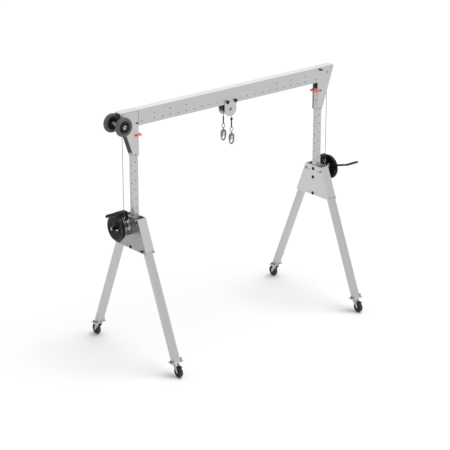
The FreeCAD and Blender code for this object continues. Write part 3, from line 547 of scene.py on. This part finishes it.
def t_handle(piece, root, out, along, reach, size=1.0):
    """A pin's collar and neck with a moulded T handle that widens to its ends."""
    neck = [(0, 0), (0.011, 0), (0.011, 0.006), (0.008, 0.008), (0.008, 0.012), (0.006, 0.013),
            (0.006, reach - 0.006), (0, reach - 0.006)]
    piece.lathe([(radius * size, away) for radius, away in neck], root, out, "plastic", 24)
    half = 0.025 * size
    bar = root + out * (reach - 0.006) - along * half
    piece.lathe([(0, 0), (0.0050 * size, 0.0), (0.0062 * size, 0.003), (0.0060 * size, 0.012),
                 (0.0048 * size, half), (0.0060 * size, half * 1.52), (0.0062 * size, half * 1.88),
                 (0.0050 * size, half * 2), (0, half * 2)], bar, along, "plastic", 20)


# ---------------------------------------------------------------- feet and castors

def foot_fittings(side, flank):
    """The pin through a leg's end, the bolts of its plate and the levelling eyes at the plate's ends."""
    corner = "_%s_%s" % (side, flank)
    body = "leg" + corner
    q = FLANKS[flank]
    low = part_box("foot" + corner)[0]
    foot = pivot("castor_swivel" + corner)
    plate_thick, pin_up, leg_half = 0.008, 0.180, 0.026
    top = low.z + plate_thick
    pins = Piece("foot_pin" + corner)
    hinge = pivot("leg_fold" + corner)
    level = top + pin_up
    outward = Vector((0, q * math.cos(LEAN), math.sin(LEAN)))
    on_axis = Vector((hinge.x, hinge.y + q * (hinge.z - level) * math.tan(LEAN), level))
    t_handle(pins, on_axis + outward * leg_half, outward, X, 0.024, 1.1)
    pins.lathe([(0, 0), (0.007, 0), (0.007, 0.002), (0.004, 0.004), (0.004, 0.009), (0, 0.010)],
               on_axis - outward * leg_half, -outward, "zinc", 16)
    pins.done(body)
    plate = Piece("foot_bolts" + corner)
    for x in (-0.052, 0.052):
        for y in (-0.026, 0.026):
            plate.bolt(Vector((foot.x + x, foot.y + y, top)), Z, 0.011, "zinc")
    for end in (-1, 1):
        eye = Vector((foot.x + end * 0.068, foot.y, top))
        plate.lathe([(0, 0), (0.006, 0), (0.006, 0.010), (0, 0.010)], eye, Z, "zinc", 16)
        plate.tube(ring_of(eye + Z * 0.017, Y, Z, 0.0095, 24), 0.0036, "plastic", 10, closed=True)
    # the castor's own top plate, under the foot
    plate.box((foot.x - 0.045, foot.y - 0.040, low.z - 0.0001),
              (foot.x + 0.045, foot.y + 0.040, low.z + 0.003), "bright", 0.001)
    plate.done(body)


def castor(side, flank):
    """The castor: pressed fork with ball race and brake pedal, and a wheel with a moulded centre."""
    corner = "_%s_%s" % (side, flank)
    q = FLANKS[flank]
    hinge = pivot("castor_swivel" + corner)
    axle = pivot("castor_roll" + corner)
    low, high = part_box("castor_fork" + corner)
    top = high.z
    fork = Piece("castor_frame" + corner)
    fork.lathe([(0, -0.0127), (0.026, -0.0127), (0.026, -0.009), (0.0235, -0.006), (0.026, -0.004),
                (0.026, -0.0002), (0, -0.0002)], Vector((hinge.x, hinge.y, top)), Z, "zinc", 40)
    race_high, nut, sheet, trail, eye = 0.0077, 0.004, 0.004, 0.045, 0.013
    crown = top - race_high
    fork.box((low.x + nut, hinge.y - 0.026, crown - 0.005), (high.x - nut, hinge.y + 0.026, crown),
             "zinc", 0.0018)
    half = (high.x - low.x) / 2 - nut
    axle_drop, crown_rise = axle.z - hinge.z, crown - hinge.z
    for hand in (-1, 1):
        outline = [(-0.026, crown_rise), (-0.026, crown_rise - 0.020)]
        outline += [(trail - eye * math.cos(t), axle_drop - eye * math.sin(t))
                    for t in (math.pi * i / 10 for i in range(1, 10))]
        outline += [(trail + eye, axle_drop + 0.004), (0.030, crown_rise - 0.018), (0.026, crown_rise)]
        x = axle.x + hand * half - (sheet if hand > 0 else 0)
        fork.prism([(a * q, b) for a, b in outline], (x, hinge.y, hinge.z), Y, Z, sheet, "zinc", 0.0008)
        fork.bolt(Vector((axle.x + hand * half, axle.y, axle.z)), X * hand, 0.008, "bright", 0.004)
    # the brake pedal over the wheel, away from the swivel
    ends = sorted(axle.y + q * y for y in (0.004, 0.050))
    fork.box((axle.x - 0.014, ends[0], axle.z + 0.0655), (axle.x + 0.014, ends[1], axle.z + 0.0700),
             "plastic", 0.0015, Matrix.Rotation(-q * 0.12, 3, "X"))
    fork.done("castor_fork" + corner, ["castor_fork" + corner])
    wheel = Piece("castor_tyre" + corner)
    tyre = [(0.0440, -0.0155), (0.0530, -0.0160), (0.0575, -0.0145), (0.0610, -0.0110), (0.0625, -0.0060),
            (0.0625, 0.0060), (0.0610, 0.0110), (0.0575, 0.0145), (0.0530, 0.0160), (0.0440, 0.0155),
            (0.0425, 0.0120), (0.0425, -0.0120), (0.0440, -0.0155)]
    wheel.lathe(tyre, axle, X, "tread", 64)
    wheel.lathe([(0.0065, -0.0158), (0.0150, -0.0158), (0.0165, -0.0120), (0.0250, -0.0100),
                 (0.0400, -0.0120), (0.0430, -0.0120), (0.0430, 0.0120), (0.0400, 0.0120),
                 (0.0250, 0.0100), (0.0165, 0.0120), (0.0150, 0.0158), (0.0065, 0.0158),
                 (0.0065, -0.0158)], axle, X, "plastic", 48)
    wheel.done("castor_wheel" + corner, ["castor_wheel" + corner])


# ---------------------------------------------------------------- transport wheels

def transport_wheel(flank):
    """A fat tyre on a five-spoked dish with a bright cap."""
    node = "transport_wheel_" + flank
    q = FLANKS[flank]
    axle = pivot("transport_roll_" + flank)
    wheel = Piece("transport_tyre_" + flank)
    tyre = [(0.066, -0.0185), (0.078, -0.0210), (0.090, -0.0195), (0.097, -0.0145), (0.100, -0.0070),
            (0.100, 0.0070), (0.097, 0.0145), (0.090, 0.0195), (0.078, 0.0210), (0.066, 0.0185),
            (0.064, 0.0150), (0.064, -0.0150), (0.066, -0.0185)]
    wheel.lathe(tyre, axle, Y, "tyre", 80)
    wheel.lathe([(0.0105, -0.0168), (0.022, -0.0168), (0.026, -0.0080), (0.050, -0.0060), (0.060, -0.0150),
                 (0.0645, -0.0155), (0.0645, 0.0155), (0.060, 0.0150), (0.050, 0.0060), (0.026, 0.0080),
                 (0.022, 0.0168), (0.0105, 0.0168), (0.0105, -0.0168)], axle, Y, "plastic", 64)
    for i in range(5):
        turn = 2 * math.pi * i / 5 + 0.3
        spoke = Vector((math.cos(turn), 0, math.sin(turn)))
        for way in (-1, 1):
            centre = axle + spoke * 0.040 + Y * way * 0.0105
            half = Vector((0.019, 0.0045, 0.006))
            wheel.box(centre - half, centre + half, "plastic", 0.002, Matrix.Rotation(-turn, 3, "Y"))
    wheel.lathe([(0.0135, 0.0165), (0.0200, 0.0165), (0.0200, 0.0185), (0.0135, 0.0185),
                 (0.0135, 0.0165)], axle, Y * q, "bright", 32)
    wheel.done(node, [node])
    cap = Piece("axle_cap_" + flank)
    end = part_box("end_bracket_left")[1 if q > 0 else 0].y
    cap.lathe([(0, -0.0055), (0.0135, -0.0055), (0.0135, -0.0012), (0.0115, 0), (0, 0)],
              Vector((axle.x, end, axle.z)), Y * q, "bright", 28)
    cap.done("beam")


# ---------------------------------------------------------------- the ends of the beam

def end_fittings(side):
    """Bolts through the cheeks, the mast's T pin, the black stop block and the red latch lever."""
    s = SIDES[side]
    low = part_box("end_bracket_" + side)[0]
    mast = middle("mast_" + side).x
    cheek, sheave_out, sheave_up = 0.043, 0.105, 2.655
    lever = pivot("latch_" + side)
    bolts = Piece("bracket_bolts_" + side)
    for way in (-1, 1):
        bolts.bolt(Vector((mast, way * cheek, low.z + 0.015)), Y * way, 0.016, "zinc", 0.007)
        bolts.bolt(Vector((mast + s * sheave_out, way * cheek, sheave_up)), Y * way, 0.017, "zinc", 0.008)
        bolts.bolt(Vector((mast + s * 0.168, way * cheek, 2.700)), Y * way, 0.010, "zinc", 0.005)
    bolts.done("beam")
    # a thin black sheet on the web of the slanting edge is painted shade, for the web lying in shadow
    shade_sheet = Piece("bracket_painted_shade_" + side)
    slope, toe, thick = 155 / 450, 0.030, 0.002
    shade_low, shade_high = low.z + 0.034, 2.500
    outline = [(toe + (z - low.z) * slope - inward, z) for z, inward in
               ((shade_low, 0.0), (shade_high, 0.0), (shade_high, thick), (shade_low, thick))]
    shade_sheet.prism([(z, mast + s * (a + 0.0015)) for a, z in outline], (0, -0.036, 0), Z, X, 0.072,
                "plastic", 0.0)
    shade_sheet.done("beam")
    pin = Piece("bracket_pin_" + side)
    if s > 0:
        t_handle(pin, Vector((mast - 0.009, -cheek, 2.700)), -Y, X, 0.026)
    else:
        pin.lathe([(0, 0), (0.009, 0), (0.009, 0.004), (0.006, 0.006), (0.006, 0.012), (0, 0.013)],
                  Vector((mast + 0.019, -cheek, 2.589)), -Y, "plastic", 20)
    pin.done("beam")
    stop = Piece("stop_block_" + side)
    mast_half, block = 0.035, 0.012
    inner = mast - s * mast_half
    ends = sorted((inner, inner - s * block))
    stop.box((ends[0], -0.026, 2.486), (ends[1], 0.026, 2.5615), "plastic", 0.004)
    stop.done("beam")
    red = Piece("red_lever_" + side)
    node = "latch_lever_" + side
    box_low, box_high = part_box(node)
    reach, thick, half = 0.076, 0.007, 0.0125
    for way in (-1, 1):
        face = box_high.y if way > 0 else box_low.y
        outline = [(0.011 * math.sin(t), -half * math.cos(t)) for t in (math.pi * i / 8 for i in range(9))]
        outline += [(-0.030, half), (-reach + 0.006, 0.007), (-reach, 0.002), (-reach, -0.006),
                    (-reach + 0.006, -half)]
        # Z × X points along +Y
        red.prism([(b, a * s) for a, b in outline], (lever.x, min(face, face - way * thick), lever.z), Z, X,
                  thick, "red", 0.0018)
        red.lathe([(0, -0.0012), (0.0085, -0.0012), (0.0085, 0.0), (0, 0.0)], (lever.x, face, lever.z),
                  Y * way, "plastic", 24)
    bar = [box_low.x, box_low.x + 0.014] if s > 0 else [box_high.x - 0.014, box_high.x]
    red.box((bar[0], box_low.y, lever.z - half), (bar[1], box_high.y, lever.z + 0.006), "red", 0.004)
    red.done(node, [node])


def beam_pins():
    """Pins through the ends of the beam, and the three-lobed knobs that hold the pulley bracket."""
    knobs = Piece("bracket_knobs")
    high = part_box("pulley_bracket")[1]
    bracket = middle("pulley_bracket")
    for way in (-1, 1):
        face = bracket.y + way * 0.054
        for x in (-0.046, 0.063):
            centre = Vector((bracket.x + x, face, high.z - 0.024))
            knobs.lathe([(0, 0), (0.009, 0), (0.009, 0.008), (0, 0.008)], centre, Y * way, "zinc", 24)
            for i in range(3):
                turn = 2 * math.pi * i / 3 + 0.5
                lobe = centre + (X * math.cos(turn) + Z * math.sin(turn)) * 0.012 + Y * way * 0.006
                knobs.lathe([(0, 0), (0.0085, 0), (0.0100, 0.002), (0.0100, 0.011), (0.0080, 0.013),
                             (0, 0.013)], lobe, Y * way, "plastic", 20)
        knobs.bolt(Vector((bracket.x, way * 0.0535, 2.502)), Y * way, 0.023, "plastic", 0.0052)
    knobs.done("beam")
    pins = Piece("beam_end_pins")
    for s in (-1, 1):
        x = s * 1.208
        for way in (-1, 1):
            pins.lathe([(0, 0), (0.009, 0), (0.009, 0.002), (0, 0.003)], Vector((x, way * 0.048, 2.602)),
                       Y * way, "zinc", 20)
    pins.done("beam")


# ---------------------------------------------------------------- ropes and hooks

def rope(name, x, y, high, low, body, start, end, node):
    """A stranded wire rope that hangs straight between two levels, in place of its CAD node."""
    steps = max(8, int((high - low) / 0.004))
    path = [Vector((x, y, high + (low - high) * i / steps)) for i in range(steps + 1)]
    piece = Piece(name)
    piece.tube(path, 0.003, "rope", 12, lobes=6)
    thing = piece.done(None, [node])
    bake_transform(thing)


def ropes():
    """The falls to the winches and to the hooks."""
    for side in SIDES:
        for kind, body, still in (("winch", "head_", 0.14), ("hook", "hook_line_", 0.03)):
            node = "%s_rope_%s" % (kind, side)
            low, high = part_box(node)
            centre = middle(node)
            rope("wire_to_%s_%s" % (kind, side), centre.x, centre.y, high.z, low.z, body + side, high.z,
                 low.z + still, node)


def hook_line(side):
    """The swaged sleeve at the end of a rope and the thimble eye below it."""
    node = "hook_line_" + side
    low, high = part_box(node)
    centre = middle("hook_rope_" + side)
    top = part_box("hook_rope_" + side)[0].z
    line = Piece("rope_end_" + side)
    line.lathe([(0, 0), (0.0052, 0), (0.0070, -0.004), (0.0072, -0.080), (0.0052, -0.085), (0, -0.085)],
               Vector((centre.x, centre.y, top)), Z, "plastic", 24)
    ring = Vector((centre.x, centre.y, low.z + 0.026))
    loop = [ring + X * 0.022 * math.cos(t) + Z * 0.0222 * math.sin(t)
            for t in (2 * math.pi * i / 40 for i in range(40))]
    line.tube(loop, 0.0042, "forged", 10, closed=True)
    if high.z > top + 0.01:
        ball = Vector((centre.x, centre.y, top + 0.009))
        profile = [(0.0034, -0.0146)] + [(0.015 * math.cos(t), 0.015 * math.sin(t))
                                         for t in (math.radians(a) for a in range(-75, 76, 15))]
        line.lathe(profile + [(0.0034, 0.0146), (0.0034, -0.0146)], ball, Z, "plastic", 32)
    line.done(node, [node])


def hook(side):
    """A swivel hook: a shank and shoulders above a closed bow with a sprung latch."""
    node = "hook_" + side
    centre = middle(node)
    piece = Piece("swivel_hook_" + side)
    root = Vector((centre.x, centre.y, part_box(node)[1].z))
    piece.lathe([(0, 0), (0.0045, -0.0005), (0.0065, -0.003), (0.0068, -0.012), (0.0060, -0.014),
                 (0.0100, -0.018), (0.0130, -0.022), (0.0130, -0.034), (0.0090, -0.040), (0, -0.040)],
                root, Z, "forged", 28)
    # broad forged shoulders over a closed bow, with a rounded three-cornered mouth
    crown = 0.016
    half = [(0.011, 0.0), (0.024, -0.008), (0.034, -0.020), (0.0365, -0.032), (0.0365, -0.062),
            (0.034, -0.080), (0.028, -0.100), (0.020, -0.115), (0.010, -0.1235)]
    outline = half + [(0.0, -0.1250)] + [(-x, z) for x, z in reversed(half)]
    lip = [(0.005, -0.0600), (0.012, -0.0680), (0.019, -0.0790), (0.0205, -0.0860), (0.017, -0.0980),
           (0.010, -0.1075)]
    mouth = [(0.0, -0.0575)] + lip + [(0.0, -0.1095)] + [(-x, z) for x, z in reversed(lip)]
    # Z × X points along +Y
    piece.prism([(z - crown, x) for x, z in outline], root - Y * 0.008, Z, X, 0.016, "forged", 0.0035,
                cuts=[[(z - crown, x) for x, z in mouth]])
    # the sprung gate on the near face, its rivet and the raised boss of the shoulders
    gate = [(-0.070 - crown, -0.006), (-0.070 - crown, 0.006), (-0.030 - crown, 0.012),
            (-0.030 - crown, -0.012)]
    piece.prism(gate, root - Y * 0.0088, Z, X, 0.0016, "bright", 0.0004)
    for way in (-1, 1):
        piece.lathe([(0, 0), (0.0055, 0), (0.0048, 0.0012), (0, 0.0016)],
                    root + Y * way * 0.0078 - Z * (0.034 + crown), Y * way, "bright", 20)
    piece.done(node, [node])


# ---------------------------------------------------------------- stage, light and camera

def stage():
    """A pale floor without an edge in view, soft light all round and a broad light above."""
    bpy.ops.mesh.primitive_plane_add(size=400, location=(0, 0, 0))
    floor = bpy.context.object
    floor.name = "floor"
    paint = bpy.data.materials.new("floor_paint")
    paint.use_nodes = True
    shader = paint.node_tree.nodes["Principled BSDF"]
    shader.inputs["Base Color"].default_value = (0.80, 0.80, 0.80, 1)
    shader.inputs["Roughness"].default_value = 0.8
    shader.inputs["Specular IOR Level"].default_value = 0.2
    floor.data.materials.append(paint)
    world = bpy.data.worlds.new("studio")
    bpy.context.scene.world = world
    world.use_nodes = True
    background = world.node_tree.nodes["Background"]
    background.inputs["Color"].default_value = (1.0, 1.0, 1.0, 1)
    background.inputs["Strength"].default_value = 0.72
    lamp = bpy.data.lights.new("overhead", "SUN")
    lamp.energy = 1.9
    lamp.angle = math.radians(40)
    light = bpy.data.objects.new("overhead", lamp)
    light.rotation_euler = (math.radians(12), math.radians(14), 0)
    bpy.context.scene.collection.objects.link(light)


def camera():
    """The view from the front left, a little above the beam, with a long lens."""
    lens = bpy.data.cameras.new("camera")
    lens.sensor_width = 36.0
    lens.lens = 129.7
    lens.clip_end = 300
    eye = bpy.data.objects.new("camera", lens)
    eye.location = (-10.765, -12.624, 7.410)
    eye.rotation_euler = (math.radians(90 - 20.628), 0, math.radians(-40.286))
    bpy.context.scene.collection.objects.link(eye)
    bpy.context.scene.camera = eye


bpy.context.scene.view_settings.view_transform = "Standard"
camera()
stage()
finish_nodes()
for side in SIDES:
    winch(side)
    crank(side)
    head_fittings(side)
    end_fittings(side)
    hook_line(side)
    hook(side)
    for flank in FLANKS:
        foot_fittings(side, flank)
        castor(side, flank)
for flank in FLANKS:
    transport_wheel(flank)
beam_pins()
ropes()
